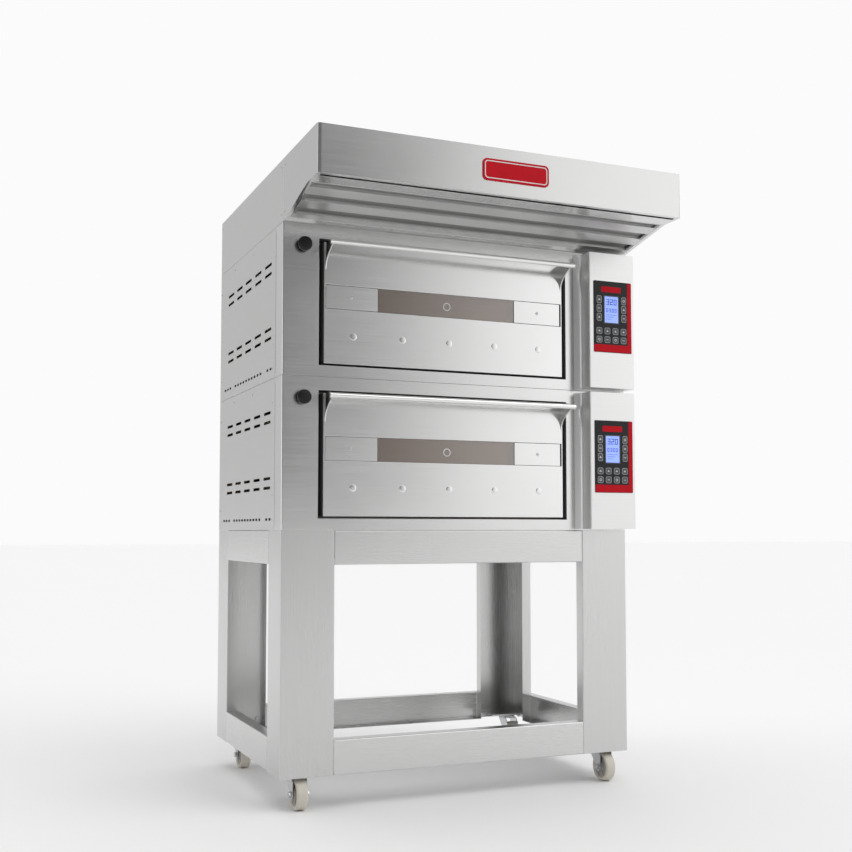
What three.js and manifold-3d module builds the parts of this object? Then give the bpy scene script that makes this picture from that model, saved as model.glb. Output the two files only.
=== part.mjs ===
// Double-deck electric pizza oven on an open castored stand, under an overhanging extraction hood.
// Millimetres, +Z up. The front faces -Y and the floor is Z = 0. Positions inside the code are given
// from the oven's front left corner (x to the right, y to the back); piece() moves them to the middle.
import * as THREE from "three";
import { mergeVertices } from "three/addons/utils/BufferGeometryUtils.js";
import Module from "manifold-3d";

const wasm = await Module();
wasm.setup();

// ---- driving dimensions -------------------------------------------------------------------------
const WIDTH = 1030; // body, hood and stand
const DEPTH = 700; // front plane to rear panel
const HOOD_REACH = 292; // how far the canopy stands out over the doors
const STUB = 40; // rear steam outlet length
const SHEET = 2; // sheet metal thickness
const GAP = 0.3; // running and seam clearance
const BEND = 3; // outside radius of a folded corner

const STAND_BOTTOM = 85;
const STAND_TOP = 715;
const LEG_X = 145; // leg width seen from the front
const LEG_Y = 120; // leg width seen from the side
const LEG_LIP = 33;
const RAIL = 90;
const RAIL_LIP = 35;

const WHEEL_R = 40;
const WHEEL_W = 32;
const AXLE_R = 4;
const AXLE_FIT = 0.05;
const SWIVEL_IN = 60; // swivel axis from the two outer faces of a leg
const TRAIL = 30;
const PLATE_Z = 105; // underside of the castor plate inside a leg

const DECK = 400; // pitch of the decks
const OPEN = { x0: 98, x1: 836, z0: 30, z1: 365 }; // door opening in the front
const DOOR = { x0: 112, x1: 824, z0: 36, z1: 357, depth: 43 };
const WINDOW = { x0: 263, x1: 670, z0: 181, z1: 245 };
const HANDLE = { x0: 109, x1: 830, y: -62, z: 345, r: 7, gussets: [115, 818] };
const CAVITY = { x0: 128, x1: 806, y0: 48, y1: 620, z0: 96, z1: 296 };
const STONE = { z: 122, t: 16 };
const BOX = { x0: 882, x1: 1030, out: 56, z0: 4, z1: 392, fillet: 20 };
const KEYPAD = { x0: 896, x1: 1020.6, z0: 106, z1: 311, t: 1.2 };
const KNOB = { x: 55.5, z: 344, r: 19, rod: 4 };
const CORNER_WRAP = 70; // how far the front sheet wraps onto each side

const HOOD_BASE = STAND_TOP + 2 * DECK;
const HOOD_TOP = 1681;
const FASCIA_BASE = 1560;
const CANOPY_BEND = 10; // outside radius of the canopy's two front corners
const LIP_DEPTH = 76; // flat underside behind the fascia
const LIP_SLOT = { y0: -279, y1: -265 }; // long slot in that underside
const FILTER_GAPS = [[-211, -190], [-152, -119], [-81, -46]]; // open strips between the filter's slats
const FILTER_IN = 12; // filter opening from each end of the canopy
const COLLAR = { x: 515, y: 500, r: 75, t: 2, h: 40, flange: 95 };

const MID_X = WIDTH / 2;
const MID_Y = (DEPTH + STUB - HOOD_REACH) / 2;

// ---- finishes -----------------------------------------------------------------------------------
const steel = (color, roughness = 0.32) =>
  new THREE.MeshStandardMaterial({ color, roughness, metalness: 1 });
const MAT = {
  satin: steel(0xb4b4b2),
  stand: steel(0xb0b0ae, 0.36),
  bright: steel(0xd0d0ce, 0.2),
  zinc: steel(0x9a9c9e, 0.3),
  liner: steel(0x6d6a66, 0.5),
  element: steel(0x3c3734, 0.55),
  wool: new THREE.MeshStandardMaterial({ color: 0xc9b98a, roughness: 1, metalness: 0 }),
  stone: new THREE.MeshStandardMaterial({ color: 0xc8ae8c, roughness: 0.95, metalness: 0 }),
  glass: new THREE.MeshStandardMaterial({ color: 0x6a5546, roughness: 0.06, metalness: 0 }),
  keypad: new THREE.MeshStandardMaterial({ color: 0x16161a, roughness: 0.4, metalness: 0 }),
  knob: new THREE.MeshStandardMaterial({ color: 0x111111, roughness: 0.45, metalness: 0 }),
  nylon: new THREE.MeshStandardMaterial({ color: 0xcdc8bb, roughness: 0.55, metalness: 0 }),
};

// ---- solids -------------------------------------------------------------------------------------
function bodyOf(geometry) {
  const g = geometry.clone();
  for (const name of Object.keys(g.attributes)) if (name !== "position") g.deleteAttribute(name);
  const m = mergeVertices(g, 1e-4);
  const index = [...m.index.array];
  const solid = [];
  for (let i = 0; i < index.length; i += 3) {
    const [a, b, c] = index.slice(i, i + 3);
    if (a !== b && b !== c && c !== a) solid.push(a, b, c);
  }
  return new wasm.Manifold(
    new wasm.Mesh({
      numProp: 3,
      vertProperties: new Float32Array(m.attributes.position.array),
      triVerts: new Uint32Array(solid),
    })
  );
}

function geometryOf(body) {
  const mesh = body.getMesh();
  const g = new THREE.BufferGeometry();
  g.setAttribute("position", new THREE.BufferAttribute(new Float32Array(mesh.vertProperties), 3));
  g.setIndex(new THREE.BufferAttribute(new Uint32Array(mesh.triVerts), 1));
  const flat = g.toNonIndexed();
  flat.computeVertexNormals();
  return flat;
}

const join = (list) => list.reduce((a, b) => a.add(b));
const cut = (body, list) => list.reduce((a, b) => a.subtract(b), body);

function block(x0, x1, y0, y1, z0, z1) {
  const g = new THREE.BoxGeometry(x1 - x0, y1 - y0, z1 - z0);
  g.translate((x0 + x1) / 2, (y0 + y1) / 2, (z0 + z1) / 2);
  return bodyOf(g);
}

// A flat outline drawn as [a, b] pairs and drawn out along one axis, from lo to hi.
// Along z the pairs are [x, y]; along x they are [y, z].
function prism(points, axis, lo, hi) {
  const shape = new THREE.Shape(points.map(([a, b]) => new THREE.Vector2(a, b)));
  const g = new THREE.ExtrudeGeometry(shape, { depth: hi - lo, bevelEnabled: false });
  g.translate(0, 0, lo);
  if (axis === "x") {
    g.applyMatrix4(new THREE.Matrix4().set(0, 0, 1, 0, 1, 0, 0, 0, 0, 1, 0, 0, 0, 0, 0, 1));
  }
  return bodyOf(g);
}

// An outline whose [a, b, r] corners are rounded to radius r, as folded sheet is.
function folded(points) {
  const n = points.length;
  return points.flatMap(([a, b, r], i) => {
    if (!r) return [[a, b]];
    const corner = new THREE.Vector2(a, b);
    const toward = (j) => new THREE.Vector2(points[j][0], points[j][1]).sub(corner).normalize();
    const [before, after] = [toward((i + n - 1) % n), toward((i + 1) % n)];
    const steps = Math.max(3, Math.round(r / 2));
    return [...Array(steps + 1).keys()].map((k) => {
      const t = (k / steps) * (Math.PI / 2);
      const p = corner.clone();
      p.addScaledVector(before, r * (1 - Math.sin(t)));
      p.addScaledVector(after, r * (1 - Math.cos(t)));
      return [p.x, p.y];
    });
  });
}

// A turned body from [radius, height] pairs; its own axis points along the given direction.
function turned(profile, axis, x, y, z, segments = 32) {
  const points = profile.map(([r, h]) => new THREE.Vector2(r, h));
  const g = new THREE.LatheGeometry(points, segments);
  if (axis === "z") g.rotateX(Math.PI / 2);
  if (axis === "x") g.rotateZ(-Math.PI / 2);
  g.translate(x, y, z);
  const body = bodyOf(g);
  return body.volume() > 0 ? body : bodyOf(reversed(g));
}

function reversed(geometry) {
  const g = geometry.clone();
  const index = g.index.array;
  for (let i = 0; i < index.length; i += 3) {
    const keep = index[i];
    index[i] = index[i + 2];
    index[i + 2] = keep;
  }
  return g;
}

const rod = (r, lo, hi, axis, x, y, z, segments) =>
  turned([[0, lo], [r, lo], [r, hi], [0, hi]], axis, x, y, z, segments);

const oven = new THREE.Group();
oven.name = "pizza_oven";

function piece(name, body, material) {
  const mesh = new THREE.Mesh(geometryOf(body), material);
  mesh.geometry.translate(-MID_X, -MID_Y, 0);
  mesh.name = name;
  oven.add(mesh);
}

// Mirrors a body across the middle of the oven, left to right or front to back.
const flipX = (body) => body.mirror([1, 0, 0]).translate([WIDTH, 0, 0]);
const flipY = (body) => body.mirror([0, 1, 0]).translate([0, DEPTH, 0]);

// ---- stand --------------------------------------------------------------------------------------
function leg() {
  const inside = BEND - SHEET;
  const outline = [
    [0, 0, BEND], [LEG_X, 0, BEND], [LEG_X, LEG_LIP], [LEG_X - SHEET, LEG_LIP],
    [LEG_X - SHEET, SHEET, inside], [SHEET, SHEET, inside], [SHEET, LEG_Y - SHEET, inside],
    [LEG_LIP, LEG_Y - SHEET], [LEG_LIP, LEG_Y], [0, LEG_Y, BEND],
  ];
  const shell = prism(folded(outline), "z", STAND_BOTTOM, STAND_TOP);
  const plate = block(1, LEG_X - 1, 1, LEG_Y - 1, PLATE_Z, PLATE_Z + 5);
  return shell.add(plate);
}

// A channel whose web faces outwards at y = 0 and whose two lips point inwards.
function rail(lo, hi, z) {
  const inside = BEND - SHEET;
  const outline = [
    [0, z, BEND], [RAIL_LIP, z], [RAIL_LIP, z + SHEET], [SHEET, z + SHEET, inside],
    [SHEET, z + RAIL - SHEET, inside], [RAIL_LIP, z + RAIL - SHEET], [RAIL_LIP, z + RAIL],
    [0, z + RAIL, BEND],
  ];
  return prism(folded(outline), "x", lo, hi);
}

const sideways = (body) => body.rotate([0, 0, -90]).translate([0, DEPTH, 0]);

const frontLeft = leg();
piece("leg_front_left", frontLeft, MAT.stand);
piece("leg_front_right", flipX(frontLeft), MAT.stand);
piece("leg_rear_left", flipY(frontLeft), MAT.stand);
piece("leg_rear_right", flipX(flipY(frontLeft)), MAT.stand);

for (const [level, z] of [["top", STAND_TOP - RAIL], ["bottom", STAND_BOTTOM]]) {
  const across = rail(LEG_X + GAP, WIDTH - LEG_X - GAP, z);
  const along = sideways(rail(LEG_Y + GAP, DEPTH - LEG_Y - GAP, z));
  piece(`rail_${level}_front`, across, MAT.stand);
  piece(`rail_${level}_rear`, flipY(across), MAT.stand);
  piece(`rail_${level}_left`, along, MAT.stand);
  piece(`rail_${level}_right`, flipX(along), MAT.stand);
}

// ---- castors ------------------------------------------------------------------------------------
function fork(x, y) {
  const half = WHEEL_W / 2 + 2;
  const cheek = [
    [22, PLATE_Z - 12], [22, PLATE_Z - 17], [-TRAIL + 13, WHEEL_R - 10],
    [-TRAIL - 8, WHEEL_R - 10], [-TRAIL - 14, WHEEL_R + 6], [-22, PLATE_Z - 12],
  ];
  const shape = cheek.map(([a, b]) => [y + a, b]);
  const head = rod(24, PLATE_Z - 14, PLATE_Z - 4, "z", x, y, 0, 24);
  const bridge = block(x - half - 2.5, x + half + 2.5, y - 22, y + 22, PLATE_Z - 15, PLATE_Z - 12);
  const arms = [-1, 1].map((s) =>
    prism(shape, "x", s > 0 ? x + half : x - half - 2.5, s > 0 ? x + half + 2.5 : x - half)
  );
  const axle = rod(AXLE_R, -half - 6, half + 6, "x", x, y - TRAIL, WHEEL_R, 24);
  return join([head, bridge, ...arms, axle]);
}

function wheel(x, y) {
  const w = WHEEL_W / 2;
  const bore = AXLE_R + AXLE_FIT;
  const profile = [
    [bore, -w], [15, -w], [16, -w + 5], [29, -w + 5], [31, -w + 1.5], [36, -w + 1.5], [WHEEL_R, -w + 6],
    [WHEEL_R, w - 6], [36, w - 1.5], [31, w - 1.5], [29, w - 5], [16, w - 5], [15, w], [bore, w],
    [bore, -w],
  ];
  return turned(profile, "x", x, y - TRAIL, WHEEL_R, 24);
}

for (const [row, y] of [["front", SWIVEL_IN], ["rear", DEPTH - SWIVEL_IN]]) {
  for (const [side, x] of [["left", SWIVEL_IN], ["right", WIDTH - SWIVEL_IN]]) {
    piece(`castor_fork_${row}_${side}`, fork(x, y), MAT.zinc);
    piece(`castor_wheel_${row}_${side}`, wheel(x, y), MAT.nylon);
  }
}

// ---- one oven deck ------------------------------------------------------------------------------
function frontFrame(b) {
  const inside = BEND - SHEET;
  const plan = [
    [0, 0, BEND], [WIDTH, 0, BEND], [WIDTH, CORNER_WRAP], [WIDTH - SHEET, CORNER_WRAP],
    [WIDTH - SHEET, SHEET, inside], [SHEET, SHEET, inside], [SHEET, CORNER_WRAP], [0, CORNER_WRAP],
  ];
  const face = prism(folded(plan), "z", b + GAP, b + DECK - 0.5);
  const sleeve = cut(
    block(OPEN.x0 - SHEET, OPEN.x1 + SHEET, 0, CAVITY.y0 - GAP, b + OPEN.z0 - SHEET, b + OPEN.z1 + SHEET),
    [block(OPEN.x0, OPEN.x1, -5, CAVITY.y0 + 5, b + OPEN.z0, b + OPEN.z1)]
  );
  return cut(face, [
    block(OPEN.x0 - 1, OPEN.x1 + 1, -5, 10, b + OPEN.z0 - 1, b + OPEN.z1 + 1),
    rod(KNOB.rod + 1, -5, 10, "y", KNOB.x, 0, b + KNOB.z, 16),
  ]).add(sleeve);
}

function sidePanel(b) {
  const panel = block(0, SHEET, CORNER_WRAP + GAP, DEPTH, b + GAP, b + DECK - 0.5);
  const slots = [];
  for (const z of [112, 137, 287, 312]) {
    for (const [y0, y1] of [[108, 176], [214, 282], [322, 390], [427, 493], [530, 600]]) {
      slots.push(block(-5, 10, y0, y1, b + z - 4, b + z + 4));
    }
  }
  for (const [first, count] of [[80, 3], [216, 10], [568, 3]]) {
    for (let i = 0; i < count; i += 1) {
      const y = first + 32 * i;
      slots.push(block(-5, 10, y - 10, y + 10, b + 25, b + 32));
    }
  }
  return cut(panel, slots);
}

function rearPanel(b) {
  const y = DEPTH - SHEET;
  const sheet = block(SHEET + GAP, WIDTH - SHEET - GAP, y, DEPTH, b + GAP, b + DECK - 0.5);
  const pipe = rod(20, y, DEPTH + STUB, "y", KNOB.x, 0, b + KNOB.z, 24);
  const gland = join([
    rod(15, y, DEPTH + 8, "y", 950, 0, b + 60, 6),
    rod(11, y, DEPTH + 24, "y", 950, 0, b + 60, 16),
  ]);
  return cut(join([sheet, pipe, gland]), [
    rod(17.5, y - 5, DEPTH + STUB + 5, "y", KNOB.x, 0, b + KNOB.z, 24),
  ]);
}

// A shallow pan: a plate with a rim folded up (or, below zero, down) all round.
function pan(z, rim) {
  const [x0, x1] = [SHEET + GAP, WIDTH - SHEET - GAP];
  const [y0, y1] = [SHEET + GAP, DEPTH - SHEET - GAP];
  const [lo, hi] = rim > 0 ? [z, z + rim] : [z + SHEET + rim, z + SHEET];
  const [cutLo, cutHi] = rim > 0 ? [z + SHEET, hi + 5] : [lo - 5, z];
  const plan = (i, r) => {
    const [left, right, front, back] = [x0 + i, x1 - i, y0 + i, y1 - i];
    return folded([[left, front, r], [right, front, r], [right, back, r], [left, back, r]]);
  };
  return cut(prism(plan(0, BEND), "z", lo, hi), [prism(plan(SHEET, BEND - SHEET), "z", cutLo, cutHi)]);
}

function linerBox(b) {
  const c = CAVITY;
  const s = SHEET;
  const shell = block(c.x0 - s, c.x1 + s, c.y0, c.y1 + s, b + c.z0 - s, b + c.z1 + s);
  const flange = block(OPEN.x0 + GAP, OPEN.x1 - GAP, c.y0, c.y0 + s, b + OPEN.z0 + GAP, b + OPEN.z1 - GAP);
  const hollow = block(c.x0, c.x1, c.y0 - 5, c.y1, b + c.z0, b + c.z1);
  const ledges = [c.x0 - 1, c.x1 - 11].map((x) =>
    block(x, x + 12, c.y0 + 12, c.y1 + 1, b + STONE.z - 10, b + STONE.z - GAP)
  );
  return join([cut(join([shell, flange]), [hollow]), ...ledges]);
}

function insulation(b) {
  const c = CAVITY;
  const s = SHEET + GAP;
  return cut(
    block(c.x0 - 20, c.x1 + 20, c.y0 + s, c.y1 + 22, b + c.z0 - 46, b + c.z1 + 50),
    [block(c.x0 - s, c.x1 + s, c.y0 - 5, c.y1 + s, b + c.z0 - s, b + c.z1 + s)]
  );
}

// A flat heating element folded to and fro, with both terminals at the right-hand wall.
function element(z) {
  const t = 8;
  const [x0, x1] = [CAVITY.x0 + 24, CAVITY.x1 - 24];
  const rows = 8;
  const step = (CAVITY.y1 - CAVITY.y0 - 80) / (rows - 1);
  const bars = [];
  for (let i = 0; i < rows; i += 1) {
    const y = CAVITY.y0 + 36 + i * step;
    const terminal = i === 0 || i === rows - 1;
    bars.push(block(x0, terminal ? CAVITY.x1 - GAP : x1, y, y + t, z, z + t));
    const turn = i % 2 === 0 ? x0 : x1 - t;
    if (i < rows - 1) bars.push(block(turn, turn + t, y, y + step + t, z, z + t));
  }
  return join(bars);
}

function doorShell(b) {
  const d = DOOR;
  return cut(block(d.x0, d.x1, 0, d.depth, b + d.z0, b + d.z1), [
    block(d.x0 + SHEET, d.x1 - SHEET, SHEET, d.depth + 5, b + d.z0 + SHEET, b + d.z1 - SHEET),
    block(WINDOW.x0, WINDOW.x1, -5, 10, b + WINDOW.z0, b + WINDOW.z1),
  ]);
}

function doorLiner(b) {
  const d = DOOR;
  return cut(
    block(d.x0 + 2, d.x1 - 2, d.depth + GAP, d.depth + GAP + SHEET, b + d.z0 + 2, b + d.z1 - 2),
    [block(WINDOW.x0 + 6, WINDOW.x1 - 6, 30, 60, b + WINDOW.z0 + 4, b + WINDOW.z1 - 4)]
  );
}

function doorGlass(b) {
  const w = WINDOW;
  return block(w.x0 + GAP, w.x1 - GAP, 0.8, 5.8, b + w.z0 + GAP, b + w.z1 - GAP);
}

function doorHandle(b) {
  const h = HANDLE;
  const root = b + h.z - 62;
  const outline = [[-GAP, root], [-GAP, b + DOOR.z1], [-30, b + DOOR.z1 + 1], [h.y, b + h.z + h.r - 1]];
  outline.push([h.y - 4, b + h.z]);
  const steps = 8;
  for (let i = 0; i <= steps; i += 1) {
    const t = i / steps;
    const end = [h.y - 1, b + h.z - h.r + 1];
    const bend = [-3, root + 34];
    const y = (1 - t) ** 2 * end[0] + 2 * t * (1 - t) * bend[0] + t * t * -GAP;
    const z = (1 - t) ** 2 * end[1] + 2 * t * (1 - t) * bend[1] + t * t * root;
    if (i < steps) outline.push([y, z]);
  }
  const gussets = h.gussets.map((x) => prism(outline, "x", x, x + 3));
  return join([rod(h.r, h.x0, h.x1, "x", 0, h.y, b + h.z, 16), ...gussets]);
}

function controlBox(b) {
  const c = BOX;
  const outline = [[c.x1, -GAP], [c.x0 - c.fillet, -GAP], [c.x0 - c.fillet, -GAP - 1]];
  const steps = 8;
  for (let i = 1; i <= steps; i += 1) {
    const a = (i / steps) * (Math.PI / 2);
    outline.push([
      c.x0 - c.fillet + c.fillet * Math.sin(a),
      -1 - GAP - (c.fillet - c.fillet * Math.cos(a)),
    ]);
  }
  outline.push([c.x0, -c.out + 3], [c.x0 + 3, -c.out], [c.x1 - 3, -c.out], [c.x1, -c.out + 3]);
  return cut(prism(outline.reverse(), "z", b + c.z0, b + c.z1), [
    block(c.x0 + SHEET, c.x1 - SHEET, -c.out + SHEET, 5, b + c.z0 + SHEET, b + c.z1 - SHEET),
  ]);
}

function keypad(b) {
  const y = -BOX.out - GAP;
  return block(KEYPAD.x0, KEYPAD.x1, y - KEYPAD.t, y, b + KEYPAD.z0, b + KEYPAD.z1);
}

// Pull knob, long rod and the disc that opens and shuts the rear steam outlet.
function steamDamper(b) {
  const end = DEPTH - SHEET - GAP;
  const profile = [
    [0, -23], [13, -23], [17.5, -21], [KNOB.r, -17], [KNOB.r, -8], [16, -3], [9, -0.8],
    [KNOB.rod, -0.8], [KNOB.rod, end - 3], [23, end - 3], [23, end], [0, end],
  ];
  return turned(profile, "y", KNOB.x, 0, b + KNOB.z, 24);
}

for (const [deck, b] of [["lower", STAND_TOP], ["upper", STAND_TOP + DECK]]) {
  const left = sidePanel(b);
  piece(`${deck}_front_frame`, frontFrame(b), MAT.satin);
  piece(`${deck}_side_left`, left, MAT.satin);
  piece(`${deck}_side_right`, flipX(left), MAT.satin);
  piece(`${deck}_rear_panel`, rearPanel(b), MAT.satin);
  piece(`${deck}_base_tray`, pan(b + GAP, 24), MAT.satin);
  piece(`${deck}_top_cover`, pan(b + DECK - 0.5 - SHEET, -18), MAT.satin);
  piece(`${deck}_chamber_liner`, linerBox(b), MAT.liner);
  piece(`${deck}_insulation`, insulation(b), MAT.wool);
  piece(
    `${deck}_baking_stone`,
    block(CAVITY.x0 + 2, CAVITY.x1 - 2, CAVITY.y0 + 12, CAVITY.y1 - 3, b + STONE.z, b + STONE.z + STONE.t),
    MAT.stone
  );
  piece(`${deck}_element_top`, element(b + CAVITY.z1 - 16), MAT.element);
  piece(`${deck}_element_bottom`, element(b + CAVITY.z0 + 4), MAT.element);
  piece(`${deck}_door_shell`, doorShell(b), MAT.satin);
  piece(`${deck}_door_liner`, doorLiner(b), MAT.liner);
  piece(`${deck}_door_glass`, doorGlass(b), MAT.glass);
  piece(`${deck}_door_handle`, doorHandle(b), MAT.bright);
  piece(`${deck}_control_box`, controlBox(b), MAT.satin);
  piece(`${deck}_control_keypad`, keypad(b), MAT.keypad);
  piece(`${deck}_steam_damper`, steamDamper(b), MAT.knob);
}

// ---- hood ---------------------------------------------------------------------------------------
const slopeZ = (y) => HOOD_BASE + 1 + ((FASCIA_BASE - HOOD_BASE - 1) * -y) / (HOOD_REACH - LIP_DEPTH);

function canopy() {
  const [front, back] = [-HOOD_REACH, -GAP];
  const lip = -HOOD_REACH + LIP_DEPTH;
  const s = SHEET;
  const outer = [
    [front, FASCIA_BASE], [lip, FASCIA_BASE], [back, slopeZ(back)], [back, HOOD_TOP], [front, HOOD_TOP],
  ];
  const inner = [
    [front + s, FASCIA_BASE + s], [lip, FASCIA_BASE + s], [5, slopeZ(5) + s],
    [5, HOOD_TOP - s], [front + s, HOOD_TOP - s],
  ];
  const filter = [
    [-22, slopeZ(-22) - 15], [-22, slopeZ(-22) + 15],
    [lip + 2, FASCIA_BASE + 15], [lip + 2, FASCIA_BASE - 15],
  ];
  const plan = (i, r) => {
    const points = [[i, front + i, r], [WIDTH - i, front + i, r], [WIDTH - i, 50], [i, 50]];
    return prism(folded(points), "z", HOOD_BASE - 50, HOOD_TOP + 50);
  };
  return cut(prism(outer, "x", 0, WIDTH).intersect(plan(0, CANOPY_BEND)), [
    prism(inner, "x", s, WIDTH - s).intersect(plan(s, CANOPY_BEND - s)),
    prism(filter, "x", FILTER_IN, WIDTH - FILTER_IN),
    block(FILTER_IN, WIDTH - FILTER_IN, LIP_SLOT.y0, LIP_SLOT.y1, FASCIA_BASE - 5, FASCIA_BASE + 5),
  ]);
}

function baffles() {
  const [front, back] = [-HOOD_REACH + LIP_DEPTH + 2 + GAP, -22 - GAP];
  const t = 12;
  const plate = [
    [front, slopeZ(front)], [back, slopeZ(back)], [back, slopeZ(back) + t], [front, slopeZ(front) + t],
  ];
  const end = FILTER_IN + 8;
  const slots = FILTER_GAPS.map(([a, c]) => block(end, WIDTH - end, a, c, HOOD_BASE - 15, HOOD_TOP));
  return cut(prism(plate, "x", FILTER_IN + GAP, WIDTH - FILTER_IN - GAP), slots);
}

function housing() {
  const s = SHEET;
  const shell = block(0, WIDTH, 0, DEPTH, HOOD_BASE + GAP, HOOD_TOP);
  return cut(shell, [
    block(s, WIDTH - s, -5, DEPTH - s, HOOD_BASE + GAP + s, HOOD_TOP - s),
    rod(COLLAR.r - COLLAR.t, HOOD_TOP - 10, HOOD_TOP + 10, "z", COLLAR.x, COLLAR.y, 0, 32),
  ]);
}

function collar() {
  const [inner, z] = [COLLAR.r - COLLAR.t, HOOD_TOP + GAP];
  const profile = [
    [inner, z], [COLLAR.flange, z], [COLLAR.flange, z + 2], [COLLAR.r, z + 2],
    [COLLAR.r, z + COLLAR.h], [inner, z + COLLAR.h], [inner, z],
  ];
  return turned(profile, "z", COLLAR.x, COLLAR.y, 0, 32);
}

piece("hood_canopy", canopy(), MAT.satin);
piece("hood_housing", housing(), MAT.satin);
piece("hood_baffle_filter", baffles(), MAT.satin);
piece("hood_duct_collar", collar(), MAT.satin);

export default oven;
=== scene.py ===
"""Looks for the double-deck pizza oven: detailed pieces, finishes, light and camera around the CAD frame.

Lengths inside the pieces are millimetres from the oven's front left corner on the floor: x to the right,
y to the back, z up. at() turns them into the frame's metres.
"""

import math

import bmesh
import bpy
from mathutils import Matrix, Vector
from mathutils.geometry import tessellate_polygon

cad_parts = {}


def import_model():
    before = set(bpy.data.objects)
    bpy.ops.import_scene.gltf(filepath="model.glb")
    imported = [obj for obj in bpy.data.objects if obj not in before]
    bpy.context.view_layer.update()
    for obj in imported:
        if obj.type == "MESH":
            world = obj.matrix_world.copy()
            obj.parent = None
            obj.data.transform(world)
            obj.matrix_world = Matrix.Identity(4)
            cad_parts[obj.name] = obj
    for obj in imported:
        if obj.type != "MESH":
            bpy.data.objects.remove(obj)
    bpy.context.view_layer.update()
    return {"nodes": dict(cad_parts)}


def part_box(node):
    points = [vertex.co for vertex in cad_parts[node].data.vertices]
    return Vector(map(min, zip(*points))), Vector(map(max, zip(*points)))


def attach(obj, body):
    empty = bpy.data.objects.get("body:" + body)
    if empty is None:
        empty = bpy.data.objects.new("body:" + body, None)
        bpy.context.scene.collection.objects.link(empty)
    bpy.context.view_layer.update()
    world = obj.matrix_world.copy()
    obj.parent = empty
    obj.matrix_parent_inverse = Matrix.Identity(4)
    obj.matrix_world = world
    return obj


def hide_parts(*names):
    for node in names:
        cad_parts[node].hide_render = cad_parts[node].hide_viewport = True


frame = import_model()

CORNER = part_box("lower_front_frame")[0]
NODES = frame["nodes"]
WIDTH, DEPTH = 1030.0, 700.0
DECKS = {deck: round(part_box(f"{deck}_front_frame")[0].z * 1000 - 0.3) for deck in ("lower", "upper")}
HOOD_TOP, FASCIA_BASE, HOOD_REACH = 1681.0, 1560.0, 292.0
THROAT, FILTER_REACH = 1516.0, 216.0  # underside height at the decks, and length of its slope
DUCT = (515.0, 500.0)


def at(x, y, z):
    return Vector((CORNER.x + x / 1000, CORNER.y + y / 1000, z / 1000))


# ---- finishes ------------------------------------------------------------------------------------
class Finish:
    """A node material with its Principled shader, and short ways to add nodes."""

    def __init__(self, name, color, roughness, metallic=0.0, **sockets):
        self.material = bpy.data.materials.new(name)
        self.material.use_nodes = True
        self.tree = self.material.node_tree
        self.shader = self.tree.nodes["Principled BSDF"]
        self.set("Base Color", (*color, 1))
        self.set("Roughness", roughness)
        self.set("Metallic", metallic)
        for key, value in sockets.items():
            self.set(key.replace("_", " "), value)
        self.coords = self.tree.nodes.new("ShaderNodeTexCoord")

    def set(self, socket, value):
        self.shader.inputs[socket].default_value = value

    def link(self, a, b):
        self.tree.links.new(a, b)

    def noise(self, scale, stretch=(1, 1, 1), detail=4.0, rough=0.55):
        mapping = self.tree.nodes.new("ShaderNodeMapping")
        mapping.inputs["Scale"].default_value = stretch
        self.link(self.coords.outputs["Object"], mapping.inputs["Vector"])
        node = self.tree.nodes.new("ShaderNodeTexNoise")
        node.inputs["Scale"].default_value = scale
        node.inputs["Detail"].default_value = detail
        node.inputs["Roughness"].default_value = rough
        self.link(mapping.outputs["Vector"], node.inputs["Vector"])
        return node.outputs["Fac"]

    def ranged(self, value, low, high, from_low=0.3, from_high=0.7):
        node = self.tree.nodes.new("ShaderNodeMapRange")
        limits = {"From Min": from_low, "From Max": from_high, "To Min": low, "To Max": high}
        for socket, number in limits.items():
            node.inputs[socket].default_value = number
        self.link(value, node.inputs["Value"])
        return node.outputs["Result"]

    def mixed(self, value, a, b):
        node = self.tree.nodes.new("ShaderNodeMix")
        node.data_type = "RGBA"
        node.inputs["A"].default_value = (*a, 1)
        node.inputs["B"].default_value = (*b, 1)
        self.link(value, node.inputs["Factor"])
        return node.outputs["Result"]

    def bump(self, height, strength, distance):
        node = self.tree.nodes.new("ShaderNodeBump")
        node.inputs["Strength"].default_value = strength
        node.inputs["Distance"].default_value = distance
        self.link(height, node.inputs["Height"])
        self.link(node.outputs["Normal"], self.shader.inputs["Normal"])

    def add(self, a, b, weight):
        node = self.tree.nodes.new("ShaderNodeMath")
        node.operation = "MULTIPLY_ADD"
        node.inputs[1].default_value = weight
        self.link(b, node.inputs[0])
        self.link(a, node.inputs[2])
        return node.outputs["Value"]


def brushed(name, tone, rough, stretch, bump=0.02, spread=0.04):
    """Satin stainless sheet: a fine grain along one axis, and faint cloudy wiping marks."""
    f = Finish(name, tone, rough, 1.0)
    grain = f.noise(1.0, stretch, 5.0, 0.65)
    cloud = f.noise(3.2, (1, 1, 1), 3.0, 0.5)
    wear = f.add(grain, cloud, 0.8)
    f.link(f.ranged(wear, rough - spread, rough + spread, 0.6, 1.2), f.shader.inputs["Roughness"])
    dark = tuple(c * 0.95 for c in tone)
    f.link(f.mixed(f.ranged(grain, 0, 1), dark, tone), f.shader.inputs["Base Color"])
    f.bump(grain, bump, 0.0004)
    return f.material


def plain(name, color, rough, scale=60.0, bump=0.05, distance=0.0003, vary=0.9, **sockets):
    """A moulded or painted surface: slight mottling of colour and a fine texture."""
    f = Finish(name, color, rough, **sockets)
    mottle = f.noise(scale * 0.12, detail=3.0)
    dark = tuple(c * vary for c in color)
    f.link(f.mixed(f.ranged(mottle, 0, 1), dark, color), f.shader.inputs["Base Color"])
    f.link(f.ranged(f.noise(scale * 0.3), rough - 0.05, rough + 0.05), f.shader.inputs["Roughness"])
    f.bump(f.noise(scale, detail=6.0), bump, distance)
    return f.material


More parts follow.
